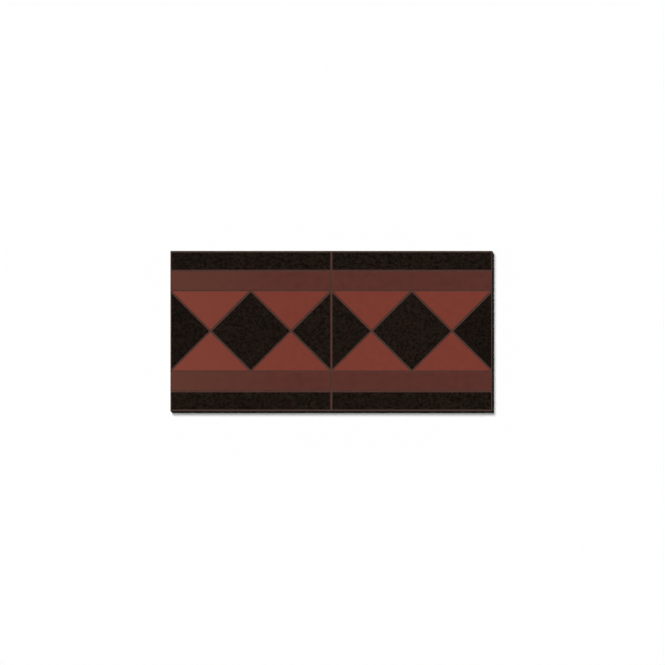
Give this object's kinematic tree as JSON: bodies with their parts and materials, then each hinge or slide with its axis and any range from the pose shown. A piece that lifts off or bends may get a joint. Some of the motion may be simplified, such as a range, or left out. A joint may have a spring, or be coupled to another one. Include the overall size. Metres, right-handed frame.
{
  "type": "victorian border tile",
  "caption": "Flat rectangular border panel of geometric floor tiles: a band of black squares on their corners with red triangles between, edged by brown and black strips, in recessed grout.",
  "frame": {"origin": "middle of the underside, where the backs of the tiles bed on the floor", "axes": "+X runs along the border, +Y across it, +Z out of the tiles' faces"},
  "size_m": [0.2998, 0.1494, 0.009],
  "materials": {
    "black_ceramic": "matt unglazed vitrified ceramic, through-coloured black with a fine fleck",
    "brown_ceramic": "matt unglazed vitrified ceramic, through-coloured chocolate brown",
    "red_ceramic": "matt unglazed vitrified ceramic, through-coloured brick red",
    "grout": "dry cement grout, warm grey-brown, tooled slightly below the faces"
  },
  "bodies": {
    "root": {"black_strip_upper_1": "black_ceramic", "black_strip_upper_2": "black_ceramic", "black_strip_lower_1": "black_ceramic", "black_strip_lower_2": "black_ceramic", "brown_strip_upper_1": "brown_ceramic", "brown_strip_upper_2": "brown_ceramic", "brown_strip_lower_1": "brown_ceramic", "brown_strip_lower_2": "brown_ceramic", "black_square_1": "black_ceramic", "black_square_2": "black_ceramic", "black_half_square_1": "black_ceramic", "black_half_square_2": "black_ceramic", "black_half_square_3": "black_ceramic", "black_half_square_4": "black_ceramic", "red_triangle_upper_1": "red_ceramic", "red_triangle_upper_2": "red_ceramic", "red_triangle_upper_3": "red_ceramic", "red_triangle_upper_4": "red_ceramic", "red_triangle_lower_1": "red_ceramic", "red_triangle_lower_2": "red_ceramic", "red_triangle_lower_3": "red_ceramic", "red_triangle_lower_4": "red_ceramic", "grout": "grout"}
  },
  "joints": []
}
